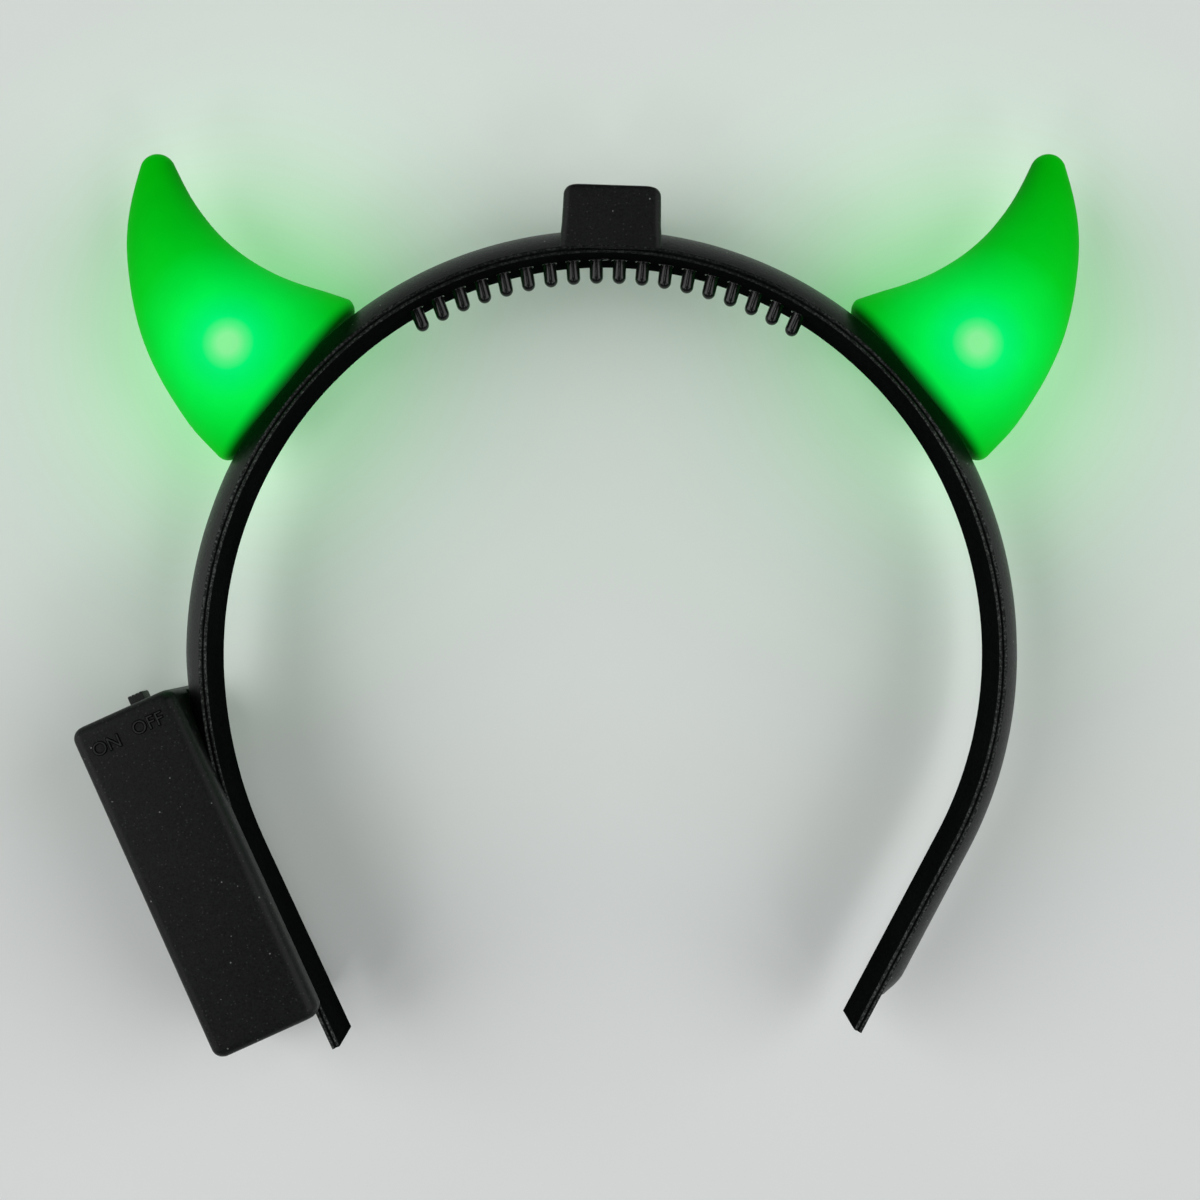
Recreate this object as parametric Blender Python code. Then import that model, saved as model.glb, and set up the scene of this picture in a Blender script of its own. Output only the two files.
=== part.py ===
"""Light-up devil horns headband, lying flat with its band on edge, front side up.

All sizes are in millimetres in the head frame: the head circle's centre is the origin, +Y points to the
crown, +X to the right arm, +Z up from the surface. Objects are placed in metres about CENTRE_X, CENTRE_Y.
"""
import bpy
import bmesh
from math import asin, cos, degrees, pi, radians, sin, sqrt
from mathutils import Matrix, Vector

MM = 0.001
CENTRE_X = -3.160
CENTRE_Y = 7.313

# band: a thin strip on edge whose inner face follows tangent arcs on each side of the crown
MID_Z = 14.0
BAND_HALF_WIDTH = 7.5
STRIP_THICK = 1.4
HEAD_RADIUS = 65.1
STEP_ANGLE = 4.5
RIGHT_ARM = {"turns": ((65.1, 40.0), (68.4, 45.7), (66.5, 32.2)), "straight": 35.4}
LEFT_ARM = {"turns": ((65.1, 40.0), (68.4, 53.2), (80.0, 21.7)), "straight": 35.3}

# rim of the strip: two fine ridges with a groove between them
RIDGE_BEVEL = 0.16
GROOVE_HALF = 0.25
GROOVE_DEPTH = 0.3

# wire hump: an arched hollow shell along the outside of the strip, open at both ends
HUMP_HEIGHT = 3.6
HUMP_HALF_WIDTH = 7.0
HUMP_WALL = 1.2
HUMP_SEGMENTS = 8
HUMP_STOP_RIGHT = 6.3
HUMP_STOP_LEFT = 9.0
HUMP_FOOT = 0.35
CHANNEL_FLOOR = 0.3

# comb teeth inside the crown
TOOTH_COUNT = 18
TOOTH_PITCH = 3.55
TOOTH_SHIFT = 0.75
TOOTH_FAN = 0.77
TOOTH_RADIUS = 0.98
TOOTH_LENGTH = 4.0
TOOTH_FLARE = 0.55
TOOTH_ROOT = 0.7
TOOTH_SIDES = 12

# box on the crown
BOX_FOOT_WIDTH = 16.9
BOX_TOP_WIDTH = 16.3
BOX_X = 1.45
BOX_FOOT_Y = 65.7
BOX_TOP_Y = 76.5
BOX_HALF_DEPTH = 7.4
BOX_TURN = -1.9
BOX_CORNER = 1.6
BOX_EDGE = 0.3

# battery case outside the left arm
CASE_X = -67.43
CASE_Y = -38.55
CASE_TURN = 24.3
CASE_LENGTH = 59.8
CASE_TOP_WIDTH = 18.5
CASE_FOOT_WIDTH = 19.0
CASE_DEPTH = 26.0
CASE_EDGE = 1.8
CASE_GAP = 0.3
ROOM_INSIDE = -4.0
ROOM_BELOW = -20.0
WEB_CORNER = (-72.6, -10.4)
WEB_SIZE = (6.2, 2.2, 13.0)

# slide switch in the end wall of the case
KNOB_WIDTH = 2.7
KNOB_DEPTH = 4.6
KNOB_PROUD = 2.05
KNOB_TAIL = 2.9
KNOB_SIDE = 1.07
KNOB_TRAVEL = 2.4
KNOB_GAP = 0.3
KNOB_RIDGES = 4
KNOB_RIDGE_HEIGHT = 0.25

# horns: oval sections, mirrored copies; columns are centre x, centre y, direction (degrees), half width
HORN_ROWS = (
    (-54.36, 44.80, 140.5, 17.45),
    (-58.35, 47.70, 135.9, 16.42),
    (-62.05, 50.65, 132.6, 14.92),
    (-65.58, 53.95, 128.9, 13.35),
    (-68.67, 57.60, 125.0, 11.78),
    (-71.25, 61.58, 121.2, 10.10),
    (-73.33, 65.88, 117.1, 8.45),
    (-74.88, 70.40, 112.0, 6.88),
    (-75.74, 75.20, 104.0, 5.10),
    (-76.12, 81.15, 93.5, 2.85),
)
HORN_BASE_RADIUS = 70.4
HORN_BASE_DEPTH = 14.0
HORN_DEPTH_SHARE = 0.81
HORN_EDGE = 2.2
HORN_WALL = 1.5
HORN_TIP = 2.6
HORN_HOLE = 3.5
HORN_SIDES = 28

# lamps inside the horns, each on a boss of the band
LAMP_POLAR = 140.5
LAMP_SEAT = 76.0
LAMP_RADIUS = 2.5
LAMP_FLANGE = 2.9
LAMP_BODY = 6.1
LAMP_SIDES = 16
BOSS_RADIUS = 3.2
BOSS_FOOT = 68.6
SEAT_GAP = 0.3

BLACK_ABS = (0.012, 0.012, 0.013, 1.0)
GREY_ABS = (0.035, 0.036, 0.037, 1.0)
GREEN_VINYL = (0.01, 0.62, 0.07, 1.0)
LAMP_EPOXY = (0.35, 0.95, 0.42, 1.0)


def make_material(name, colour, roughness, glow=0.0):
    """Principled material with an optional glow of its own colour."""
    material = bpy.data.materials.new(name)
    material.use_nodes = True
    shader = material.node_tree.nodes["Principled BSDF"]
    shader.inputs["Base Color"].default_value = colour
    shader.inputs["Roughness"].default_value = roughness
    shader.inputs["Emission Color"].default_value = colour
    shader.inputs["Emission Strength"].default_value = glow
    return material


def make_collection(name):
    """Collection linked to the scene."""
    collection = bpy.data.collections.new(name)
    bpy.context.scene.collection.children.link(collection)
    return collection


def finish(bm, name, collection, material=None, origin=(CENTRE_X, CENTRE_Y, 0.0), smooth=False):
    """Turn a millimetre bmesh into an object whose origin is the given head-frame point."""
    bmesh.ops.remove_doubles(bm, verts=bm.verts, dist=1e-4)
    bmesh.ops.recalc_face_normals(bm, faces=bm.faces)
    start = Vector(origin)
    for vert in bm.verts:
        vert.co = (vert.co - start) * MM
    for face in bm.faces:
        face.smooth = smooth
    mesh = bpy.data.meshes.new(name)
    bm.to_mesh(mesh)
    bm.free()
    obj = bpy.data.objects.new(name, mesh)
    obj.location = (start - Vector((CENTRE_X, CENTRE_Y, 0.0))) * MM
    collection.objects.link(obj)
    if material is None:
        obj.hide_render = True
        obj.display_type = "WIRE"
    else:
        mesh.materials.append(material)
    return obj


def combine(obj, operation, cutter):
    """Exact Boolean modifier."""
    modifier = obj.modifiers.new(f"{operation.lower()} {cutter.name}", "BOOLEAN")
    modifier.solver = "EXACT"
    modifier.operation = operation
    modifier.object = cutter


def profile_face(bm, outline):
    """Face in the plane across the crown: columns are height off the inner face and offset from mid width."""
    verts = [bm.verts.new((0.0, HEAD_RADIUS + out, MID_Z + across)) for out, across in outline]
    return bm.faces.new(verts)


def drop_faces(bm, faces):
    """Remove the faces that a spin or a pull left inside the solid."""
    bmesh.ops.delete(bm, geom=[face for face in faces if face.is_valid], context="FACES_ONLY")


def sweep_arm(bm, faces, arm, side, shorten):
    """Carry a profile down one arm: a spin for every arc, then a straight pull."""
    at = Vector((0.0, HEAD_RADIUS, 0.0))
    heading = 0.0
    geom = faces
    for radius, turn in arm["turns"]:
        inward = Vector((-side * sin(heading), -cos(heading), 0.0))
        centre = at + radius * inward
        steps = max(2, round(turn / STEP_ANGLE))
        result = bmesh.ops.spin(bm, geom=geom, cent=centre, axis=(0, 0, 1), angle=-side * radians(turn),
                                steps=steps, use_duplicate=False)
        drop_faces(bm, geom)
        geom = [item for item in result["geom_last"] if isinstance(item, bmesh.types.BMFace)]
        heading += radians(turn)
        at = centre - radius * Vector((-side * sin(heading), -cos(heading), 0.0))
    result = bmesh.ops.extrude_face_region(bm, geom=geom)
    verts = [item for item in result["geom"] if isinstance(item, bmesh.types.BMVert)]
    pull = (arm["straight"] - shorten) * Vector((side * cos(heading), -sin(heading), 0.0))
    bmesh.ops.translate(bm, verts=verts, vec=pull)
    drop_faces(bm, geom)


def sweep_band(outline, shorten_right=0.0, shorten_left=0.0):
    """Closed solid of one outline carried down both arms from the crown."""
    bm = bmesh.new()
    first = profile_face(bm, outline)
    other = profile_face(bm, outline)
    sweep_arm(bm, [first], RIGHT_ARM, 1, shorten_right)
    sweep_arm(bm, [other], LEFT_ARM, -1, shorten_left)
    return bm


def rim_outline():
    """Strip section with a groove and two ridges on both rims."""
    half = BAND_HALF_WIDTH
    mid = STRIP_THICK / 2
    upper = [
        (0.0, half - RIDGE_BEVEL),
        (RIDGE_BEVEL, half),
        (mid - GROOVE_HALF, half),
        (mid, half - GROOVE_DEPTH),
        (mid + GROOVE_HALF, half),
        (STRIP_THICK - RIDGE_BEVEL, half),
        (STRIP_THICK, half - RIDGE_BEVEL),
    ]
    return upper + [(out, -across) for out, across in reversed(upper)]


def arch(centre, radius, floor):
    """Points of an arc about a centre below the strip, from one foot to the other."""
    reach = asin(sqrt(radius ** 2 - (floor - centre) ** 2) / radius)
    turns = [reach * (2 * step / HUMP_SEGMENTS - 1) for step in range(HUMP_SEGMENTS + 1)]
    return [(centre + radius * cos(turn), radius * sin(turn)) for turn in turns]


def hump_arc():
    """Centre and radius of the hump's outer arc."""
    radius = (HUMP_HALF_WIDTH ** 2 + HUMP_HEIGHT ** 2) / (2 * HUMP_HEIGHT)
    return STRIP_THICK + HUMP_HEIGHT - radius, radius


def polar(radius, angle, z=MID_Z):
    """Head-frame point at a distance and an angle from +X."""
    return Vector((radius * cos(radians(angle)), radius * sin(radians(angle)), z))


def turned(bm, profile, base, direction, sides):
    """Full spin of a radius and height profile about an axis."""
    axis = direction.normalized()
    across = axis.orthogonal().normalized()
    verts = [bm.verts.new(base + axis * height + across * radius) for radius, height in profile]
    edges = [bm.edges.new(pair) for pair in zip(verts, verts[1:])]
    bmesh.ops.spin(bm, geom=verts + edges, cent=base, axis=axis, angle=2 * pi, steps=sides, use_merge=True)


def dome(radius, foot, rings):
    """Profile of a hemisphere from its equator to its pole."""
    turns = [pi / 2 * ring / rings for ring in range(rings + 1)]
    return [(radius * cos(turn), foot + radius * sin(turn)) for turn in turns[:-1]] + [(0.0, foot + radius)]


def build_teeth(collection):
    """All comb teeth in one cutter object."""
    bm = bmesh.new()
    profile = [
        (0.0, -TOOTH_ROOT),
        (TOOTH_RADIUS + TOOTH_FLARE, -TOOTH_ROOT),
        (TOOTH_RADIUS + TOOTH_FLARE, 0.05),
        (TOOTH_RADIUS + 0.3 * TOOTH_FLARE, 0.3),
        (TOOTH_RADIUS, TOOTH_FLARE + 0.15),
    ] + dome(TOOTH_RADIUS, TOOTH_LENGTH - TOOTH_RADIUS, 3)
    for index in range(TOOTH_COUNT):
        angle = TOOTH_SHIFT + (index - (TOOTH_COUNT - 1) / 2) * TOOTH_PITCH
        root = polar(HEAD_RADIUS, 90.0 - angle)
        fan = radians(TOOTH_FAN * angle)
        turned(bm, profile, root, Vector((-sin(fan), -cos(fan), 0.0)), TOOTH_SIDES)
    return finish(bm, "teeth_cutter", collection)


def build_box(collection):
    """Drafted box on the crown with rounded upper corners."""
    bm = bmesh.new()
    height = BOX_TOP_Y - BOX_FOOT_Y
    bmesh.ops.create_cube(bm, size=1.0)
    for vert in bm.verts:
        width = BOX_TOP_WIDTH if vert.co.y > 0 else BOX_FOOT_WIDTH
        vert.co = Vector((vert.co.x * width, vert.co.y * height, vert.co.z * 2 * BOX_HALF_DEPTH))
    corners = [edge for edge in bm.edges if all(vert.co.y > 0 for vert in edge.verts)
               and abs(edge.verts[0].co.z - edge.verts[1].co.z) > BOX_HALF_DEPTH]
    bmesh.ops.bevel(bm, geom=corners, offset=BOX_CORNER, segments=4, profile=0.5, affect="EDGES", material=-1)
    rims = [edge for edge in bm.edges if all(abs(abs(vert.co.z) - BOX_HALF_DEPTH) < 1e-5 for vert in edge.verts)
            and edge.verts[0].co.z * edge.verts[1].co.z > 0
            and max(vert.co.y for vert in edge.verts) > -height / 2 + 1e-4]
    bmesh.ops.bevel(bm, geom=rims, offset=BOX_EDGE, segments=1, profile=0.5, affect="EDGES", material=-1)
    place = Matrix.Translation((BOX_X, (BOX_TOP_Y + BOX_FOOT_Y) / 2, MID_Z))
    bmesh.ops.transform(bm, matrix=place @ Matrix.Rotation(radians(BOX_TURN), 4, "Z"), verts=bm.verts)
    return finish(bm, "box_cutter", collection)


def build_band(collection, cutters, material):
    """Strip, hump, teeth, box and lamp bosses as one moulding with a hollow wire channel."""
    band = finish(sweep_band(rim_outline()), "band", collection, material)
    centre, radius = hump_arc()
    hump = [(STRIP_THICK - HUMP_FOOT, -HUMP_HALF_WIDTH)] + arch(centre, radius, STRIP_THICK)
    hump.append((STRIP_THICK - HUMP_FOOT, HUMP_HALF_WIDTH))
    hump_solid = finish(sweep_band(hump, HUMP_STOP_RIGHT, HUMP_STOP_LEFT), "hump_cutter", cutters)
    combine(band, "UNION", hump_solid)
    combine(band, "UNION", build_teeth(cutters))
    combine(band, "UNION", build_box(cutters))
    for side, angle in (("left", LAMP_POLAR), ("right", 180.0 - LAMP_POLAR)):
        bm = bmesh.new()
        height = LAMP_SEAT - SEAT_GAP - BOSS_FOOT
        profile = [(0.0, 0.0), (BOSS_RADIUS, 0.0), (BOSS_RADIUS, height), (0.0, height)]
        turned(bm, profile, polar(BOSS_FOOT, angle), polar(1.0, angle, 0.0), LAMP_SIDES)
        combine(band, "UNION", finish(bm, f"{side}_boss_cutter", cutters))
    channel = arch(centre, radius - HUMP_WALL, STRIP_THICK + CHANNEL_FLOOR)
    channel_solid = finish(sweep_band(channel, HUMP_STOP_RIGHT - 1.0, HUMP_STOP_LEFT - 1.0),
                           "channel_cutter", cutters)
    combine(band, "DIFFERENCE", channel_solid)
    return band


def case_frame():
    """Placement of the case: local +Y runs along it to the switch end, local +Z up."""
    return Matrix.Translation((CASE_X, CASE_Y, 0.0)) @ Matrix.Rotation(radians(CASE_TURN), 4, "Z")


def block(bm, low, high, matrix):
    """Box between two corners of a local frame."""
    made = bmesh.ops.create_cube(bm, size=1.0)["verts"]
    size = Vector(high) - Vector(low)
    middle = (Vector(high) + Vector(low)) / 2
    for vert in made:
        vert.co = Vector((vert.co.x * size.x, vert.co.y * size.y, vert.co.z * size.z)) + middle
    bmesh.ops.transform(bm, matrix=matrix, verts=made)


def build_case(collection, cutters, material):
    """Closed case block recessed for the band, with a pocket for the switch."""
    bm = bmesh.new()
    bmesh.ops.create_cube(bm, size=1.0)
    for vert in bm.verts:
        width = CASE_TOP_WIDTH if vert.co.y > 0 else CASE_FOOT_WIDTH
        vert.co = Vector((vert.co.x * width, vert.co.y * CASE_LENGTH, (vert.co.z + 0.5) * CASE_DEPTH))
    bmesh.ops.bevel(bm, geom=bm.edges[:], offset=CASE_EDGE, segments=3, profile=0.5, affect="EDGES", material=-1)
    bmesh.ops.transform(bm, matrix=case_frame(), verts=bm.verts)
    case = finish(bm, "battery_case", collection, material)
    web = bmesh.new()
    low = (WEB_CORNER[0], WEB_CORNER[1], MID_Z - WEB_SIZE[2] / 2)
    high = (WEB_CORNER[0] + WEB_SIZE[0], WEB_CORNER[1] + WEB_SIZE[1], MID_Z + WEB_SIZE[2] / 2)
    block(web, low, high, Matrix.Identity(4))
    combine(case, "UNION", finish(web, "web_cutter", cutters))
    centre, radius = hump_arc()
    edge = BAND_HALF_WIDTH + CASE_GAP
    shoulder = STRIP_THICK + CASE_GAP
    strip_room = [(ROOM_INSIDE, ROOM_BELOW), (shoulder, ROOM_BELOW), (shoulder, edge), (ROOM_INSIDE, edge)]
    combine(case, "DIFFERENCE", finish(sweep_band(strip_room, -6.0, -6.0), "strip_room_cutter", cutters))
    foot = STRIP_THICK - HUMP_FOOT
    hump_room = [(foot, -edge)] + arch(centre, radius + CASE_GAP, shoulder) + [(foot, edge)]
    hump_room_solid = finish(sweep_band(hump_room, 0.0, HUMP_STOP_LEFT - CASE_GAP), "hump_room_cutter", cutters)
    combine(case, "DIFFERENCE", hump_room_solid)
    pocket = bmesh.new()
    middle = KNOB_SIDE - KNOB_TRAVEL / 2
    reach = (KNOB_WIDTH + KNOB_TRAVEL) / 2 + KNOB_GAP
    half = KNOB_DEPTH / 2 + KNOB_GAP
    low = (middle - reach, CASE_LENGTH / 2 - KNOB_TAIL - KNOB_GAP, MID_Z - half)
    high = (middle + reach, CASE_LENGTH / 2 + 2.0, MID_Z + half)
    block(pocket, low, high, case_frame())
    combine(case, "DIFFERENCE", finish(pocket, "pocket_cutter", cutters))
    return case


def build_knob(collection, material):
    """Switch knob: a flat key with ridges across its tip, origin on its slide axis."""
    bm = bmesh.new()
    half = KNOB_WIDTH / 2
    tip = CASE_LENGTH / 2 + KNOB_PROUD
    foot = CASE_LENGTH / 2 - KNOB_TAIL
    outline = [(-half, foot), (half, foot)]
    pitch = KNOB_WIDTH / KNOB_RIDGES
    for ridge in range(KNOB_RIDGES):
        start = half - ridge * pitch
        outline.append((start - 0.15 * pitch, tip))
        outline.append((start - 0.6 * pitch, tip))
        outline.append((start - 0.9 * pitch, tip - KNOB_RIDGE_HEIGHT))
    outline[2] = (half, tip)
    outline[-1] = (-half, tip - KNOB_RIDGE_HEIGHT)
    face = bm.faces.new([bm.verts.new((x + KNOB_SIDE, y, MID_Z - KNOB_DEPTH / 2)) for x, y in outline])
    made = bmesh.ops.extrude_face_region(bm, geom=[face])["geom"]
    verts = [item for item in made if isinstance(item, bmesh.types.BMVert)]
    bmesh.ops.translate(bm, verts=verts, vec=(0.0, 0.0, KNOB_DEPTH))
    bmesh.ops.transform(bm, matrix=case_frame(), verts=bm.verts)
    origin = case_frame() @ Vector((KNOB_SIDE, CASE_LENGTH / 2, MID_Z))
    return finish(bm, "switch_knob", collection, material, origin=origin)


def sagitta(offset):
    """How far the band's outer circle falls away beside the horn's middle."""
    return HORN_BASE_RADIUS - sqrt(HORN_BASE_RADIUS ** 2 - offset ** 2)


def horn_section(row, share, inset, rise=0.0, bend=0.0, hole=0.0):
    """One oval ring of a horn; a hole radius gives a round ring in the base instead."""
    x, y, angle, half = row
    along = polar(1.0, angle, 0.0)
    across = Vector((along.y, -along.x, 0.0))
    depth = HORN_BASE_DEPTH * (half / HORN_ROWS[0][3]) ** HORN_DEPTH_SHARE
    wide = hole or (half - inset) * share
    deep = hole or (depth - inset) * share
    ring = []
    for side in range(HORN_SIDES):
        turn = 2 * pi * side / HORN_SIDES
        offset = wide * cos(turn)
        lift = rise - bend * sagitta(offset)
        ring.append(Vector((x, y, MID_Z)) + across * offset + along * lift + Vector((0, 0, deep * sin(turn))))
    return ring


def horn_skin(inset, last_row, tip_length):
    """Rings of one skin from the edge of the base to near its tip, and the pole."""
    rings = []
    first = HORN_ROWS[0]
    edge = max(HORN_EDGE - inset, 0.6)
    for turn in (0, 30, 60, 90):
        round_in = edge * (1 - sin(radians(turn)))
        round_up = edge * (1 - cos(radians(turn)))
        rings.append(horn_section(first, 1.0, inset + round_in, inset + round_up, 1.0))
    for row in HORN_ROWS[1:last_row + 1]:
        rings.append(horn_section(row, 1.0, inset))
    end = HORN_ROWS[last_row]
    for turn in (30, 55, 75):
        rings.append(horn_section(end, cos(radians(turn)), inset, tip_length * sin(radians(turn))))
    pole = Vector((end[0], end[1], MID_Z)) + polar(1.0, end[2], 0.0) * tip_length
    return rings, pole


def build_horn(name, mirror, collection, material):
    """Hollow horn: outer skin, base with a round hole, inner skin, in one closed surface."""
    outer, outer_pole = horn_skin(0.0, len(HORN_ROWS) - 1, HORN_TIP)
    inner, inner_pole = horn_skin(HORN_WALL, len(HORN_ROWS) - 3, HORN_TIP)
    first = HORN_ROWS[0]
    floor = [horn_section(first, 0.5, HORN_EDGE, 0.0, 1.0), horn_section(first, 1.0, 0.0, 0.0, 1.0, HORN_HOLE)]
    roof = [horn_section(first, 1.0, 0.0, HORN_WALL, 1.0, HORN_HOLE),
            horn_section(first, 0.5, HORN_EDGE, HORN_WALL, 1.0)]
    rings = outer[::-1] + floor + roof + inner
    bm = bmesh.new()
    made = [[bm.verts.new(point) for point in ring] for ring in rings]
    for here, there in zip(made, made[1:]):
        for side in range(HORN_SIDES):
            after = (side + 1) % HORN_SIDES
            bm.faces.new((here[side], here[after], there[after], there[side]))
    for pole, ring in ((outer_pole, made[0]), (inner_pole, made[-1])):
        point = bm.verts.new(pole)
        for side in range(HORN_SIDES):
            bm.faces.new((point, ring[side], ring[(side + 1) % HORN_SIDES]))
    if mirror:
        bmesh.ops.scale(bm, vec=(-1.0, 1.0, 1.0), verts=bm.verts)
    return finish(bm, name, collection, material, smooth=True)


def build_lamp(name, angle, collection, material):
    """Round lamp with a flange and a domed end, standing on its boss."""
    bm = bmesh.new()
    profile = [(0.0, 0.0), (LAMP_FLANGE, 0.0), (LAMP_FLANGE, 1.0), (LAMP_RADIUS, 1.0)]
    profile += dome(LAMP_RADIUS, LAMP_BODY, 4)
    turned(bm, profile, polar(LAMP_SEAT, angle), polar(1.0, angle, 0.0), LAMP_SIDES)
    return finish(bm, name, collection, material, smooth=True)


for old in list(bpy.data.objects):
    bpy.data.objects.remove(old, do_unlink=True)

parts = make_collection("devil_horns_headband")
cutters = make_collection("cutters")
black = make_material("black_abs", BLACK_ABS, 0.55)
grey = make_material("grey_abs", GREY_ABS, 0.45)
vinyl = make_material("green_vinyl", GREEN_VINYL, 0.35, 0.8)
epoxy = make_material("lamp_epoxy", LAMP_EPOXY, 0.15, 4.0)

build_band(parts, cutters, black)
build_case(parts, cutters, black)
build_knob(parts, grey)
build_horn("left_horn", False, parts, vinyl)
build_horn("right_horn", True, parts, vinyl)
build_lamp("left_lamp", LAMP_POLAR, parts, epoxy)
build_lamp("right_lamp", 180.0 - LAMP_POLAR, parts, epoxy)
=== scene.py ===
import bpy
import bmesh
from math import asin, cos, degrees, pi, radians, sin, sqrt
from mathutils import Matrix, Vector, noise


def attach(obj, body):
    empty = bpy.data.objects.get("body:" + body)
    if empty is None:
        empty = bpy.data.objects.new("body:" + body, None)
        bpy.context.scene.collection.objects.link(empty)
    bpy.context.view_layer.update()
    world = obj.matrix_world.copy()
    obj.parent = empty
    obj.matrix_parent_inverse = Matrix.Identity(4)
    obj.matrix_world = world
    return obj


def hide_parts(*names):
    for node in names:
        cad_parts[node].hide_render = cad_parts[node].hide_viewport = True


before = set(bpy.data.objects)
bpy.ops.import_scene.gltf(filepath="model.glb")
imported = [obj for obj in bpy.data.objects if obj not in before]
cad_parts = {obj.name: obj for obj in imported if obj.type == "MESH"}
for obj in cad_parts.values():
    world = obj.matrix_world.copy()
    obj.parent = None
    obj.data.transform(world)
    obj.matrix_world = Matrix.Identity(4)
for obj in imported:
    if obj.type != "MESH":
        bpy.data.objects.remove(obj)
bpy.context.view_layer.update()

bl_info = {
    "name": "Devil Horns Headband",
    "version": (1, 0, 0),
    "blender": (4, 5, 0),
    "location": "View3D > Sidebar > Headband",
    "description": "Models a light-up devil horns headband with its finishes and studio",
    "category": "Object",
}

BODY = "headband"
SWITCH_BODY = "switch"

# The head frame is in millimetres: the head circle's centre is its origin, +Y points to the crown.
MM = 0.001
HEAD_CENTRE = Vector((3.160, -7.313, 0.0))
MID_Z = 14.0
HEAD_RADIUS = 65.1

# Each arm is a chain of tangent arcs, radius in millimetres and turn in degrees, then a straight run.
RIGHT_ARM = {"turns": ((65.1, 40.0), (68.4, 45.7), (66.5, 32.2)), "straight": 35.4}
LEFT_ARM = {"turns": ((65.1, 40.0), (68.4, 53.2), (80.0, 21.7)), "straight": 35.3}

# Where the hump stops short of each arm's end.
HUMP_STOP_RIGHT = 6.3
HUMP_STOP_LEFT = 9.0

# How far the hump has sunk at a turn of the arm in degrees, and its share of height near its open ends.
RIGHT_SINK = ((55.0, 0.0), (70.0, 0.35), (88.0, 0.68))
LEFT_SINK = ((65.0, 0.0), (70.0, 0.1), (90.0, 0.2), (97.0, 0.55))
END_SHARE = ((0.0, 0.46), (1.2, 0.62), (2.6, 0.82), (4.6, 1.0))

# Small round pits in the inner face: x, y, z and radius.
PITS = (
    (-60.0, -33.0, 11.6, 0.5),
    (60.3, -33.8, 13.2, 0.5),
)

# Comb teeth in degrees round the crown: middle of the row, spacing, and share of it that each tooth leans by.
TOOTH_SHIFT = 0.75
TOOTH_PITCH = 3.55
TOOTH_FAN = 0.77
TOOTH_FILLET = 0.2

# Small raised mark of the moulding gate between two teeth.
GATE_MARK_SIZE = (0.75, 0.22, 0.5)
GATE_MARK_PLACE = (0.35, HEAD_RADIUS - 0.02, 15.3)

BOX_X = 1.45
BOX_TURN = -1.9

# The case's middle, its turn in degrees, and what is trimmed off its plain end and its switch end.
CASE_PLACE = (-67.43, -38.55, 0.0)
CASE_TURN = 24.3
CASE_TRIM = {-1: 0.45, 1: -0.2}
WEB_LOW = (-72.6, -10.4, MID_Z - 2.5)
WEB_HIGH = (-66.4, -8.15, MID_Z + 0.5)

# Switch key: its place across the case, and the room left round it in its pocket.
KEY_SIDE = 1.07
KEY_WIDTH = 2.7
KEY_DEPTH = 4.6
KEY_PROUD = 2.05
KEY_TAIL = 2.9
KEY_TRAVEL = 2.4
KEY_GAP = 0.3

# Words on the case with their middles, and the two layers of each letter, the raised letter and a painted
# shadow sheet round it: name, finish, weight, half height.
WORDS = (("ON", -81.73, -17.06), ("OFF", -74.98, -13.43))
LETTER_LAYERS = (("switch_lettering", "letter", -0.04, 0.26), ("lettering_painted_shadow", "painted_letter_shadow", 0.11, 0.04))

# Horn sections from the base up: centre x, centre y, direction in degrees, half width.
HORN_ROWS = (
    (-54.36, 44.80, 140.5, 17.45),
    (-58.35, 47.70, 135.9, 16.42),
    (-62.05, 50.65, 132.6, 14.92),
    (-65.58, 53.95, 128.9, 13.35),
    (-68.67, 57.60, 125.0, 11.78),
    (-71.25, 61.58, 121.2, 10.10),
    (-73.33, 65.88, 117.1, 8.45),
    (-74.88, 70.40, 112.0, 6.88),
    (-75.74, 75.20, 104.0, 5.10),
    (-76.12, 81.15, 93.5, 2.85),
)
# The tip is a ball that meets the sides at this angle, and it leans this way.
TIP_START = 19.0
TIP_DIRECTION = 92.0
# The front and back of the base reach down over the hump by this much.
BASE_SADDLE = 3.1
HORN_BASE_RADIUS = 70.4
HORN_EDGE = 2.2
HORN_INNER_EDGE = 0.7
HORN_HOLE = 3.35
# A section's depth follows its width by this power.
HORN_DEPTH_POWER = 0.81
FLOOR_SHARES = (0.85, 0.7, 0.55, 0.4)

# Direction of each lamp, the middle of its bright spot, how far its glow reaches, and where its light stands.
LAMP_POLAR = 140.5
LAMP_SPOT = (61.8, 49.3)
GLOW_REACH = 33.0
GLOW_PLACE = (64.3, 52.0)
BOSS_FOOT = 68.6

# Middle of the view on the floor.
VIEW_MIDDLE = (-0.5, 7.0, 0.0)

# Soft lights: name, direction that it comes from, spread in degrees and share of the side light.
SOFT_LIGHTS = (
    ("left_softbox", (-0.82, 0.02, 0.57), 58.0, 1.0),
    ("right_softbox", (0.82, 0.02, 0.57), 58.0, 0.85),
    ("front_softbox", (-0.10, 0.12, 1.0), 9.0, 0.05),
    ("lower_left_lamp", (-0.42, -0.62, 0.66), 14.0, 0.12),
    ("lower_right_lamp", (0.42, -0.62, 0.66), 14.0, 0.12),
)


def linear(hex_colour):
    """sRGB hex colour as linear red, green, blue and alpha."""
    channels = [int(hex_colour[start:start + 2], 16) / 255 for start in (1, 3, 5)]
    return tuple(c / 12.92 if c <= 0.04045 else ((c + 0.055) / 1.055) ** 2.4 for c in channels) + (1.0,)


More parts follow.
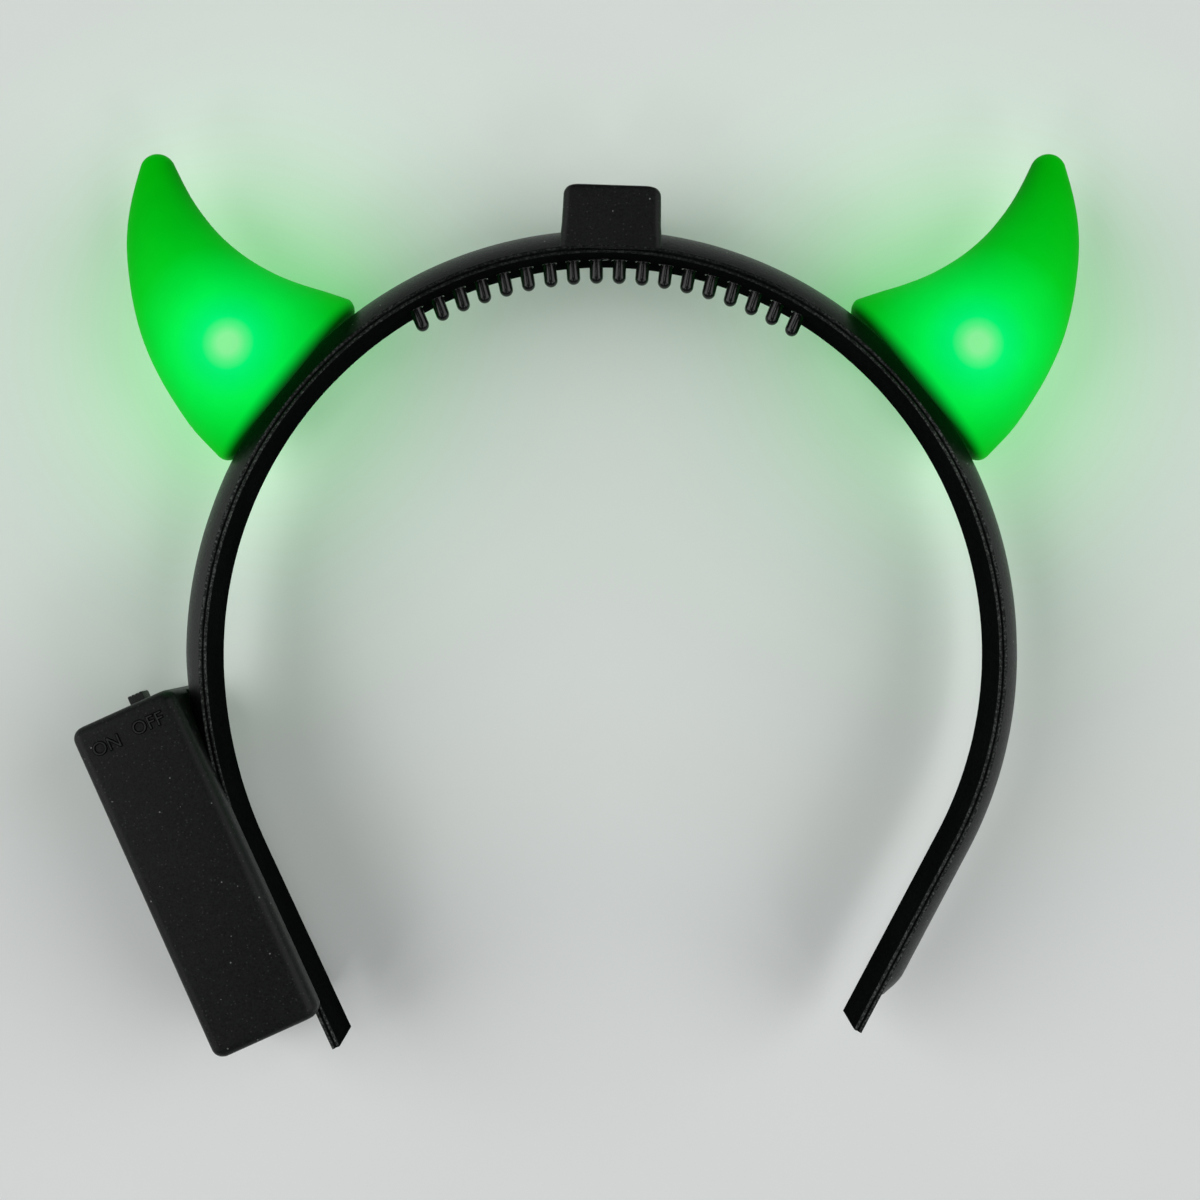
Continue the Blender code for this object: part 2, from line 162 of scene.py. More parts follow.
class BandSizes(bpy.types.PropertyGroup):
    """Sizes of the moulded band."""

    width: bpy.props.FloatProperty(
        name="Width", description="Width of the strip across the head", default=0.015, subtype="DISTANCE")
    thickness: bpy.props.FloatProperty(
        name="Thickness", description="Thickness of the strip", default=0.0014, subtype="DISTANCE")
    hump_height: bpy.props.FloatProperty(
        name="Hump height", description="Height of the wire hump over the strip",
        default=0.0036, subtype="DISTANCE")
    hump_half_width: bpy.props.FloatProperty(
        name="Hump half width", description="Half the width of the wire hump",
        default=0.007, subtype="DISTANCE")
    hump_wall: bpy.props.FloatProperty(
        name="Hump wall", description="Wall of the wire hump", default=0.0012, subtype="DISTANCE")
    tooth_count: bpy.props.IntProperty(
        name="Comb teeth", description="Number of comb teeth inside the crown", default=18)
    tooth_length: bpy.props.FloatProperty(
        name="Tooth length", description="Length of a comb tooth", default=0.004, subtype="DISTANCE")
    tooth_radius: bpy.props.FloatProperty(
        name="Tooth radius", description="Radius of a comb tooth", default=0.00115, subtype="DISTANCE")


class CaseSizes(bpy.types.PropertyGroup):
    """Sizes of the battery case and its switch."""

    length: bpy.props.FloatProperty(
        name="Length", description="Length of the battery case", default=0.0598, subtype="DISTANCE")
    depth: bpy.props.FloatProperty(
        name="Depth", description="Depth of the battery case", default=0.026, subtype="DISTANCE")
    top_width: bpy.props.FloatProperty(
        name="Switch end width", description="Width of the case at its switch end",
        default=0.0185, subtype="DISTANCE")
    foot_width: bpy.props.FloatProperty(
        name="Plain end width", description="Width of the case at its plain end",
        default=0.0190, subtype="DISTANCE")
    letter_height: bpy.props.FloatProperty(
        name="Letter height", description="Height of the switch lettering",
        default=0.0023, subtype="DISTANCE")


class HornSizes(bpy.types.PropertyGroup):
    """Sizes of the horns."""

    depth: bpy.props.FloatProperty(
        name="Base depth", description="Depth of a horn at its base", default=0.028, subtype="DISTANCE")
    wall: bpy.props.FloatProperty(
        name="Wall", description="Wall of a horn", default=0.0015, subtype="DISTANCE")


class FinishColours(bpy.types.PropertyGroup):
    """Colours of the finishes."""

    shell: bpy.props.FloatVectorProperty(
        name="Black ABS", description="Moulded shell colour", size=4, subtype="COLOR",
        default=linear("#0B0C0C"))
    key: bpy.props.FloatVectorProperty(
        name="Grey ABS", description="Switch key colour", size=4, subtype="COLOR", default=linear("#222423"))
    horn: bpy.props.FloatVectorProperty(
        name="Green vinyl", description="Horn colour", size=4, subtype="COLOR", default=linear("#001A06"))
    floor: bpy.props.FloatVectorProperty(
        name="Floor", description="Studio floor colour", size=4, subtype="COLOR", default=linear("#E8EAE9"))


def mm(length):
    """A property length in millimetres."""
    return length * 1000.0


def polar(radius, angle, z=MID_Z):
    """Head-frame point at a distance and an angle from +X."""
    return Vector((radius * cos(radians(angle)), radius * sin(radians(angle)), z))


def add_node(tree, kind, inputs=None, **settings):
    """Adds a node, sets its settings and either sets or links its inputs."""
    node = tree.nodes.new(kind)
    for name, value in settings.items():
        setattr(node, name, value)
    for name, value in (inputs or {}).items():
        if isinstance(value, bpy.types.NodeSocket):
            tree.links.new(value, node.inputs[name])
        else:
            node.inputs[name].default_value = value
    return node


def new_material(name):
    """Empty node material and its tree and shader."""
    material = bpy.data.materials.new(name)
    material.use_nodes = True
    tree = material.node_tree
    return material, tree, tree.nodes["Principled BSDF"]


def calc(tree, operation, *values, clamp=False):
    """Result of one sum on sockets or numbers."""
    inputs = dict(enumerate(values))
    return add_node(tree, "ShaderNodeMath", inputs, operation=operation, use_clamp=clamp).outputs[0]


def vector_calc(tree, operation, *values, result="Vector"):
    """Result of one sum on vectors."""
    inputs = dict(enumerate(values))
    return add_node(tree, "ShaderNodeVectorMath", inputs, operation=operation).outputs[result]


def remap(tree, value, low, high, to_low=0.0, to_high=1.0):
    """Value carried from one range to another and held inside it."""
    inputs = {"Value": value, "From Min": low, "From Max": high, "To Min": to_low, "To Max": to_high}
    return add_node(tree, "ShaderNodeMapRange", inputs).outputs["Result"]


def clouds(tree, place, per_metre, detail, roughness=0.5):
    """Soft random pattern."""
    inputs = {"Vector": place, "Scale": per_metre, "Detail": detail, "Roughness": roughness}
    return add_node(tree, "ShaderNodeTexNoise", inputs).outputs["Fac"]


def scaled(tree, colour, factor):
    """Colour made lighter or darker by a factor."""
    inputs = {0: colour, "Scale": factor}
    return add_node(tree, "ShaderNodeVectorMath", inputs, operation="SCALE").outputs["Vector"]


def mixed(tree, factor, first, second):
    """First colour with the second laid over it by a mask."""
    inputs = {"Factor": factor, 6: first, 7: second}
    return add_node(tree, "ShaderNodeMix", inputs, data_type="RGBA").outputs[2]


def add_relief(tree, shader, height, strength, depth_mm):
    """Fine relief on a finish."""
    inputs = {"Height": height, "Strength": strength, "Distance": depth_mm * MM}
    tree.links.new(add_node(tree, "ShaderNodeBump", inputs).outputs["Normal"], shader.inputs["Normal"])


def ramp(tree, factor, stops):
    """Colour ramp with the given places and linear colours."""
    node = add_node(tree, "ShaderNodeValToRGB", {"Fac": factor})
    elements = node.color_ramp.elements
    elements[0].position, elements[0].color = stops[0]
    elements[1].position, elements[1].color = stops[1]
    for place, colour in stops[2:]:
        elements.new(place).color = colour
    return node.outputs["Color"]


def specks(tree, place, per_metre, chance, radius):
    """Mask of small round specks: a share of a cell pattern's cells carry one."""
    dots = add_node(tree, "ShaderNodeTexVoronoi", {"Vector": place, "Scale": per_metre})
    pick = add_node(tree, "ShaderNodeSeparateColor", {"Color": dots.outputs["Color"]}).outputs["Red"]
    few = calc(tree, "GREATER_THAN", pick, 1.0 - chance)
    near = calc(tree, "LESS_THAN", dots.outputs["Distance"], radius)
    return calc(tree, "MULTIPLY", few, near)


def rim_tear_and_highlight(tree, place):
    """Mask of the torn ridges along both rims, fainter towards the crown: it roughens their relief and lays a
    painted highlight on them.
    """
    parts = add_node(tree, "ShaderNodeSeparateXYZ", {"Vector": place})
    crown = remap(tree, parts.outputs["Y"], 33.0 * MM, 53.0 * MM, 1.0, 0.3)
    far = calc(tree, "ABSOLUTE", calc(tree, "SUBTRACT", parts.outputs["Z"], MID_Z * MM))
    edge = remap(tree, far, 7.22 * MM, 7.38 * MM)
    torn = remap(tree, clouds(tree, place, 2600.0, 2.0, 0.6), 0.46, 0.68, 0.16, 1.0)
    return calc(tree, "MULTIPLY", torn, calc(tree, "MULTIPLY", crown, edge))


def moulded_abs(name, colour, roughness, shine, grain_mm, grain_depth, contrast, dust=0.0, rim=False):
    """Moulded ABS: a spark-eroded grain breaks up the gloss, and pale dust specks lie on it; the rim ridges
    can carry a painted highlight.
    """
    material, tree, shader = new_material(name)
    place = add_node(tree, "ShaderNodeTexCoord").outputs["Object"]
    grain = clouds(tree, place, 1000.0 / grain_mm, 3.0, 0.6)
    lift = remap(tree, clouds(tree, place, 90.0, 4.0), 0.3, 0.7, 0.85, 1.2)
    bite = remap(tree, grain, 0.32, 0.68, 1.0 - contrast, 1.0 + contrast)
    base = scaled(tree, tuple(colour[:3]), calc(tree, "MULTIPLY", lift, bite))
    height = grain
    if rim:
        ridges = rim_tear_and_highlight(tree, place)
        height = calc(tree, "ADD", height, ridges)
        # Lighter colour on the rim ridges: a painted highlight.
        base = mixed(tree, ridges, base, linear("#565957"))
    if dust:
        base = mixed(tree, specks(tree, place, 1500.0, dust, 0.2), base, linear("#262827"))
        base = mixed(tree, specks(tree, place, 620.0, dust * 0.8, 0.085), base, linear("#6A6D6B"))
    tree.links.new(base, shader.inputs["Base Color"])
    sheen = remap(tree, grain, 0.32, 0.68, roughness - 0.07, roughness + 0.07)
    tree.links.new(sheen, shader.inputs["Roughness"])
    add_relief(tree, shader, height, 0.8, grain_depth)
    shader.inputs["IOR"].default_value = 1.53
    shader.inputs["Specular IOR Level"].default_value = shine
    return material


def lit_vinyl(name, colour, side):
    """Translucent vinyl lit from inside, the lamp's glow painted into its colour: brightest over the lamp,
    deeper green towards tip and base.
    """
    material, tree, shader = new_material(name)
    coordinates = add_node(tree, "ShaderNodeTexCoord")
    place = coordinates.outputs["Object"]
    facing = coordinates.outputs["Normal"]
    flat = vector_calc(tree, "MULTIPLY", place, (1.0, 1.0, 0.0))
    lamp = head_point((side * LAMP_SPOT[0], LAMP_SPOT[1], 0.0))
    far = vector_calc(tree, "DISTANCE", flat, tuple(lamp), result="Value")
    glow = ramp(tree, remap(tree, far, 0.0, GLOW_REACH * MM), (
        (0.0, linear("#8FF69D")),
        (1.0, linear("#00AE04")),
        (0.05, linear("#8BF69C")),
        (0.092, linear("#58F786")),
        (0.135, linear("#04F774")),
        (0.18, linear("#00F468")),
        (0.28, linear("#00F34C")),
        (0.37, linear("#00E63C")),
        (0.54, linear("#00CC1C")),
        (0.72, linear("#00BE12")),
    ))
    centre = (HEAD_CENTRE.x * MM, HEAD_CENTRE.y * MM, 0.0)
    outward = vector_calc(tree, "NORMALIZE", vector_calc(tree, "SUBTRACT", flat, centre))
    # The painted glow also dims where the wall faces in towards the head, as at the base, and where it turns
    # sideways, and is brighter on the outer side.
    back = vector_calc(tree, "DOT_PRODUCT", facing, outward, result="Value")
    turned_in = calc(tree, "MULTIPLY", back, -1.0, clamp=True)
    foot = remap(tree, calc(tree, "POWER", turned_in, 1.35), 0.0, 1.0, 1.0, 0.08)
    ways = add_node(tree, "ShaderNodeSeparateXYZ", {"Vector": facing})
    edge = remap(tree, calc(tree, "ABSOLUTE", ways.outputs["Z"]), 0.0, 1.0, 0.66, 1.0)
    haze = remap(tree, clouds(tree, place, 120.0, 3.0), 0.3, 0.7, 0.96, 1.03)
    outer = remap(tree, ways.outputs["X"], -side, side, 0.8, 1.14)
    level = foot
    for factor in (haze, edge, outer):
        level = calc(tree, "MULTIPLY", level, factor)
    tree.links.new(scaled(tree, glow, level), shader.inputs["Emission Color"])
    shader.inputs["Emission Strength"].default_value = 0.97
    shader.inputs["Base Color"].default_value = colour
    shader.inputs["IOR"].default_value = 1.53
    shader.inputs["Specular IOR Level"].default_value = 0.01
    skin = clouds(tree, place, 700.0, 2.0)
    tree.links.new(remap(tree, skin, 0.3, 0.7, 0.42, 0.52), shader.inputs["Roughness"])
    add_relief(tree, shader, skin, 0.25, 0.05)
    return material


def lit_epoxy(name):
    """Clear epoxy lamp, lit: pale green with a slightly uneven, soft gloss."""
    material, tree, shader = new_material(name)
    place = add_node(tree, "ShaderNodeTexCoord").outputs["Object"]
    cloud = clouds(tree, place, 400.0, 2.0)
    glow = ramp(tree, cloud, ((0.35, linear("#8FF69D")), (0.65, linear("#C8FFD0"))))
    tree.links.new(glow, shader.inputs["Emission Color"])
    shader.inputs["Emission Strength"].default_value = 3.0
    shader.inputs["Base Color"].default_value = linear("#C8FFD0")
    shader.inputs["Roughness"].default_value = 0.15
    shader.inputs["IOR"].default_value = 1.54
    return material


def studio_paper(name, colour):
    """Matt background paper with a barely visible mottle."""
    material, tree, shader = new_material(name)
    place = add_node(tree, "ShaderNodeTexCoord").outputs["Object"]
    lift = remap(tree, clouds(tree, place, 14.0, 3.0), 0.3, 0.7, 0.985, 1.01)
    tree.links.new(scaled(tree, tuple(colour[:3]), lift), shader.inputs["Base Color"])
    shader.inputs["Roughness"].default_value = 0.85
    return material


def head_point(point):
    """Head-frame millimetres to metres about the part's origin."""
    return (Vector(point) + HEAD_CENTRE) * MM


def finish_piece(bm, name, material, body, node=None, sharp=38.0):
    """Millimetre bmesh to a finished object at the world origin, riding its body."""
    bmesh.ops.remove_doubles(bm, verts=bm.verts, dist=1e-4)
    bmesh.ops.recalc_face_normals(bm, faces=bm.faces)
    for vert in bm.verts:
        vert.co = head_point(vert.co)
    mesh = bpy.data.meshes.new(name)
    bm.to_mesh(mesh)
    bm.free()
    obj = bpy.data.objects.new(name, mesh)
    bpy.context.scene.collection.objects.link(obj)
    return dress(obj, material, body, node, sharp)


def dress(obj, material, body, node=None, sharp=38.0):
    """Smooth shading up to an angle, finish and body; hides the part that it stands in for."""
    mesh = obj.data
    mesh.shade_smooth()
    mesh.set_sharp_from_angle(angle=radians(sharp))
    mesh.materials.clear()
    mesh.materials.append(material)
    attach(obj, body)
    if node:
        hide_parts(node)
    return obj


def scratch_object(bm, name):
    """Object made only to cut another one."""
    bmesh.ops.remove_doubles(bm, verts=bm.verts, dist=1e-4)
    bmesh.ops.recalc_face_normals(bm, faces=bm.faces)
    mesh = bpy.data.meshes.new(name)
    bm.to_mesh(mesh)
    bm.free()
    obj = bpy.data.objects.new(name, mesh)
    bpy.context.scene.collection.objects.link(obj)
    return obj


def cut_mesh(bm, cutters):
    """The bmesh with every cutter taken out of it. All are in millimetres; the cutters are removed."""
    obj = scratch_object(bm, "uncut")
    for cutter, operation in cutters:
        modifier = obj.modifiers.new(cutter.name, "BOOLEAN")
        modifier.solver = "EXACT"
        modifier.operation = operation
        modifier.object = cutter
    graph = bpy.context.evaluated_depsgraph_get()
    mesh = bpy.data.meshes.new_from_object(obj.evaluated_get(graph))
    result = bmesh.new()
    result.from_mesh(mesh)
    for old in [obj] + [cutter for cutter, operation in cutters]:
        bpy.data.objects.remove(old, do_unlink=True)
    return result


def drop_faces(bm, faces):
    """Remove the faces that a spin or a pull left inside the solid."""
    bmesh.ops.delete(bm, geom=[face for face in faces if face.is_valid], context="FACES_ONLY")


def sweep_arm(bm, faces, arm, side, shorten, step):
    """Carry a profile down one arm: a spin for every arc, then a straight pull in short lengths."""
    at = Vector((0.0, HEAD_RADIUS, 0.0))
    heading = 0.0
    geom = faces
    for radius, turn in arm["turns"]:
        centre = at + radius * Vector((-side * sin(heading), -cos(heading), 0.0))
        steps = max(2, round(turn / step))
        result = bmesh.ops.spin(bm, geom=geom, cent=centre, axis=(0, 0, 1), angle=-side * radians(turn),
                                steps=steps, use_duplicate=False)
        drop_faces(bm, geom)
        geom = [item for item in result["geom_last"] if isinstance(item, bmesh.types.BMFace)]
        heading += radians(turn)
        at = centre - radius * Vector((-side * sin(heading), -cos(heading), 0.0))
    reach = arm["straight"] - shorten
    pieces = max(1, round(reach / (HEAD_RADIUS * radians(step))))
    pull = reach / pieces * Vector((side * cos(heading), -sin(heading), 0.0))
    for piece in range(pieces):
        result = bmesh.ops.extrude_face_region(bm, geom=geom)
        verts = [item for item in result["geom"] if isinstance(item, bmesh.types.BMVert)]
        bmesh.ops.translate(bm, verts=verts, vec=pull)
        drop_faces(bm, geom)
        geom = [item for item in result["geom"] if isinstance(item, bmesh.types.BMFace)]


def sweep_band(outline, shorten_right=0.0, shorten_left=0.0, step=1.25):
    """Closed solid of one outline carried down both arms. Columns: height off the inner face, across."""
    bm = bmesh.new()
    for arm, side, shorten in ((RIGHT_ARM, 1, shorten_right), (LEFT_ARM, -1, shorten_left)):
        verts = [bm.verts.new((0.0, HEAD_RADIUS + out, MID_Z + across)) for out, across in outline]
        sweep_arm(bm, [bm.faces.new(verts)], arm, side, shorten, step)
    return bm


def rounded_corner(centre, radius, start, segments):
    """Points of a quarter circle."""
    turns = [start + 90.0 * step / segments for step in range(segments + 1)]
    return [(centre[0] + radius * cos(radians(turn)), centre[1] + radius * sin(radians(turn)))
            for turn in turns]


def rounded_rectangle(half_width, low, high, radii, segments=6):
    """Rounded rectangle from four radii: upper right, upper left, lower left, lower right."""
    points = []
    corners = (
        (half_width, high, -1, -1, 0.0),
        (-half_width, high, 1, -1, 90.0),
        (-half_width, low, 1, 1, 180.0),
        (half_width, low, -1, 1, 270.0),
    )
    for (x, z, way_x, way_z, start), radius in zip(corners, radii):
        points += rounded_corner((x + way_x * radius, z + way_z * radius), radius, start, segments)
    return points


def bridge(bm, rings):
    """Skin rings of points into one closed surface with bridge_loops and two end faces."""
    made = []
    for ring in rings:
        verts = [bm.verts.new(point) for point in ring]
        edges = [bm.edges.new((verts[i], verts[(i + 1) % len(verts)])) for i in range(len(verts))]
        made.append((verts, edges))
    for (verts, edges), (next_verts, next_edges) in zip(made, made[1:]):
        bmesh.ops.bridge_loops(bm, edges=edges + next_edges)
    bm.faces.new(made[0][0])
    bm.faces.new(made[-1][0])


def turned(bm, profile, base, direction, sides):
    """Full spin of a radius and height profile about an axis."""
    axis = direction.normalized()
    across = axis.orthogonal().normalized()
    verts = [bm.verts.new(base + axis * height + across * radius) for radius, height in profile]
    edges = [bm.edges.new(pair) for pair in zip(verts, verts[1:])]
    bmesh.ops.spin(bm, geom=verts + edges, cent=base, axis=axis, angle=2 * pi, steps=sides, use_merge=True)


def dome(radius, foot, rings):
    """Profile of a hemisphere from its equator to its pole."""
    turns = [pi / 2 * ring / rings for ring in range(rings)]
    return [(radius * cos(turn), foot + radius * sin(turn)) for turn in turns] + [(0.0, foot + radius)]


def hump_arc(sizes):
    """Centre and radius of the hump's outer arc, from the inner face of the strip."""
    height = mm(sizes.hump_height)
    half = mm(sizes.hump_half_width)
    radius = (half ** 2 + height ** 2) / (2 * height)
    return mm(sizes.thickness) + height - radius, radius


def arch(centre, radius, floor, segments):
    """Points of an arc about a centre below the strip, from one foot to the other."""
    reach = asin(sqrt(radius ** 2 - (floor - centre) ** 2) / radius)
    turns = [reach * (2 * step / segments - 1) for step in range(segments + 1)]
    return [(centre + radius * cos(turn), radius * sin(turn)) for turn in turns]


class HEADBAND_OT_strip(bpy.types.Operator):
    """Strip of the band with two fine ridges and a groove along each rim"""

    bl_idname = "headband.strip"
    bl_label = "Band Strip"

    def execute(self, context):
        sizes = context.scene.headband_band
        half = mm(sizes.width) / 2
        thick = mm(sizes.thickness)
        ridge = 0.24
        upper = []
        for step in range(15):
            across = thick * step / 14
            inside = min(across, thick - across)
            if inside < ridge:
                drop = ridge - sqrt(max(ridge ** 2 - (ridge - inside) ** 2, 0.0))
            else:
                drop = 0.15 * (1 - cos(2 * pi * (across - ridge) / (thick - 2 * ridge)))
            upper.append((across, half - drop))
        outline = upper + [(out, -across) for out, across in reversed(upper)]
        bm = sweep_band(outline)
        for vert in bm.verts:
            rim = abs(vert.co.z - MID_Z) - (half - 0.45)
            if rim > 0:
                ragged = noise.noise(Vector((vert.co.x * 0.9, vert.co.y * 0.9, vert.co.z * 2.0)))
                way = 1 if vert.co.z > MID_Z else -1
                vert.co.z += way * (0.05 * ragged - 0.02)
        cutters = []
        for x, y, z, radius in PITS:
            pit = bmesh.new()
            out = Vector((x, y, 0.0)).normalized()
            bmesh.ops.create_uvsphere(pit, u_segments=16, v_segments=10, radius=radius)
            matrix = Matrix.Translation(Vector((x, y, z)) - out * radius * 0.55)
            bmesh.ops.transform(pit, matrix=matrix, verts=pit.verts)
            cutters.append((scratch_object(pit, "pit"), "DIFFERENCE"))
        bm = cut_mesh(bm, cutters)
        finish_piece(bm, "band_strip", MATERIALS["rim"], BODY, "band")
        return {"FINISHED"}


def between(table, place):
    """Value of a two-column table at a place, straight between its rows."""
    if place <= table[0][0]:
        return table[0][1]
    for (low, first), (high, second) in zip(table, table[1:]):
        if place <= high:
            return first + (second - first) * (place - low) / (high - low)
    return table[-1][1]


def arm_stations(arm, side, shorten, step=1.25):
    """Places down one arm: point on the inner face, way out, way along and turn in degrees."""
    stations = []
    at = Vector((0.0, HEAD_RADIUS, 0.0))
    heading = 0.0
    for radius, turn in arm["turns"]:
        centre = at - radius * Vector((side * sin(heading), cos(heading), 0.0))
        steps = max(2, round(turn / step))
        for index in range(steps):
            angle = heading + radians(turn) * index / steps
            out = Vector((side * sin(angle), cos(angle), 0.0))
            along = Vector((side * cos(angle), -sin(angle), 0.0))
            stations.append((centre + radius * out, out, along, degrees(angle)))
        heading += radians(turn)
        at = centre + radius * Vector((side * sin(heading), cos(heading), 0.0))
    out = Vector((side * sin(heading), cos(heading), 0.0))
    along = Vector((side * cos(heading), -sin(heading), 0.0))
    reach = arm["straight"] - shorten
    pieces = round(reach / 0.8)
    for piece in range(pieces + 1):
        stations.append((at + along * reach * piece / pieces, out, along, degrees(heading)))
    return stations


def hump_rings(outline, thick, height, arm, side, shorten, sink):
    """Rings of the hump down one arm: it sinks a little low down and dips to a nose at its open end."""
    stations = arm_stations(arm, side, shorten)
    end = stations[-1][0]
    rings = []
    for point, out, along, turn in stations:
        left = (end - point).length if turn == stations[-1][3] else 99.0
        share = (1 - between(sink, turn) / height) * between(END_SHARE, left)
        lean = -0.22 * max(0.0, 1 - left / 5.0)
        rings.append([point + out * (thick + (rise - thick) * share) + along * (lean * across)
                      + Vector((0.0, 0.0, MID_Z + across)) for rise, across in outline])
    return rings


class HEADBAND_OT_hump(bpy.types.Operator):
    """Arched hump along the outside of the strip, hollow for the wires and open at its ends"""

    bl_idname = "headband.hump"
    bl_label = "Wire Hump"

    def execute(self, context):
        sizes = context.scene.headband_band
        centre, radius = hump_arc(sizes)
        thick = mm(sizes.thickness)
        height = mm(sizes.hump_height)
        outline = arch(centre, radius, thick - 0.05, 24)
        outline += arch(centre, radius - mm(sizes.hump_wall), thick - 0.05, 20)[::-1]
        left = hump_rings(outline, thick, height, LEFT_ARM, -1, HUMP_STOP_LEFT, LEFT_SINK)
        right = hump_rings(outline, thick, height, RIGHT_ARM, 1, HUMP_STOP_RIGHT, RIGHT_SINK)
        bm = bmesh.new()
        bridge(bm, left[:0:-1] + right)
        finish_piece(bm, "wire_hump", MATERIALS["hump"], BODY)
        return {"FINISHED"}


class HEADBAND_OT_comb_teeth(bpy.types.Operator):
    """Round comb teeth with filleted roots inside the crown"""

    bl_idname = "headband.comb_teeth"
    bl_label = "Comb Teeth"

    def execute(self, context):
        sizes = context.scene.headband_band
        radius = mm(sizes.tooth_radius)
        length = mm(sizes.tooth_length)
        turns = [radians(90.0 * step / 5) for step in range(6)]
        root = [(radius + TOOTH_FILLET * (1 - sin(turn)), TOOTH_FILLET * (1 - cos(turn))) for turn in turns]
        profile = [(0.0, -0.4), (radius + TOOTH_FILLET, -0.4)] + root + dome(radius, length - radius, 8)
        bm = bmesh.new()
        for index in range(sizes.tooth_count):
            angle = TOOTH_SHIFT + (index - (sizes.tooth_count - 1) / 2) * TOOTH_PITCH
            fan = radians(TOOTH_FAN * angle)
            turned(bm, profile, polar(HEAD_RADIUS, 90.0 - angle), Vector((-sin(fan), -cos(fan), 0.0)), 24)
        mark = bmesh.ops.create_uvsphere(bm, u_segments=24, v_segments=12, radius=1.0)["verts"]
        bmesh.ops.scale(bm, vec=GATE_MARK_SIZE, verts=mark)
        bmesh.ops.translate(bm, verts=mark, vec=GATE_MARK_PLACE)
        finish_piece(bm, "comb_teeth", MATERIALS["teeth"], BODY)
        return {"FINISHED"}


class HEADBAND_OT_crown_box(bpy.types.Operator):
    """Plain box on the crown, its front running into the rim"""

    bl_idname = "headband.crown_box"
    bl_label = "Crown Box"

    def execute(self, context):
        foot_y, top_y, corner, edge, side_round = 65.75, 76.5, 1.6, 0.5, 1.25
        foot_half, top_half, half_depth = 8.45, 8.15, 7.42
        rings = []
        levels = [foot_y, foot_y + 0.5, 70.0, top_y - corner]
        levels += [top_y - corner * (1 - sin(radians(turn))) for turn in (15, 30, 45, 60, 72, 80, 86, 90)]
        for y in levels:
            share = (y - foot_y) / (top_y - foot_y)
            half = foot_half + (top_half - foot_half) * share
            rise = max(0.0, y - (top_y - corner)) / corner
            half -= corner * (1 - sqrt(max(0.0, 1 - rise ** 2)))
            rise = max(0.0, y - (top_y - edge)) / edge
            deep = half_depth - edge * (1 - sqrt(max(0.0, 1 - rise ** 2)))
            flare = 0.5 * max(0.0, 1 - (y - foot_y) / 1.4) ** 2
            round_in = min(side_round, half - 0.1, deep - 0.1)
            outline = rounded_rectangle(half + flare, -deep, deep, (round_in,) * 4)
            rings.append([Vector((x, y, MID_Z + z)) for x, z in outline])
        bm = bmesh.new()
        bridge(bm, rings)
        middle = Vector((0.0, (foot_y + top_y) / 2, 0.0))
        turn = Matrix.Rotation(radians(BOX_TURN), 4, "Z")
        about_middle = Matrix.Translation(middle) @ turn @ Matrix.Translation(-middle)
        bmesh.ops.transform(bm, matrix=Matrix.Translation((BOX_X, 0.0, 0.0)) @ about_middle, verts=bm.verts)
        finish_piece(bm, "crown_box", MATERIALS["shell"], BODY, sharp=60.0)
        return {"FINISHED"}


def case_frame():
    """Placement of the case: local +Y runs along it to the switch end, local +Z up."""
    return Matrix.Translation(CASE_PLACE) @ Matrix.Rotation(radians(CASE_TURN), 4, "Z")


def local_box(low, high, matrix):
    """Box between two corners of a local frame, as a cutter or a filler."""
    bm = bmesh.new()
    bmesh.ops.create_cube(bm, size=1.0)
    size = Vector(high) - Vector(low)
    middle = (Vector(high) + Vector(low)) / 2
    fit = Matrix.Translation(middle) @ Matrix.Diagonal((size.x, size.y, size.z, 1.0))
    bmesh.ops.transform(bm, matrix=matrix @ fit, verts=bm.verts)
    return bm


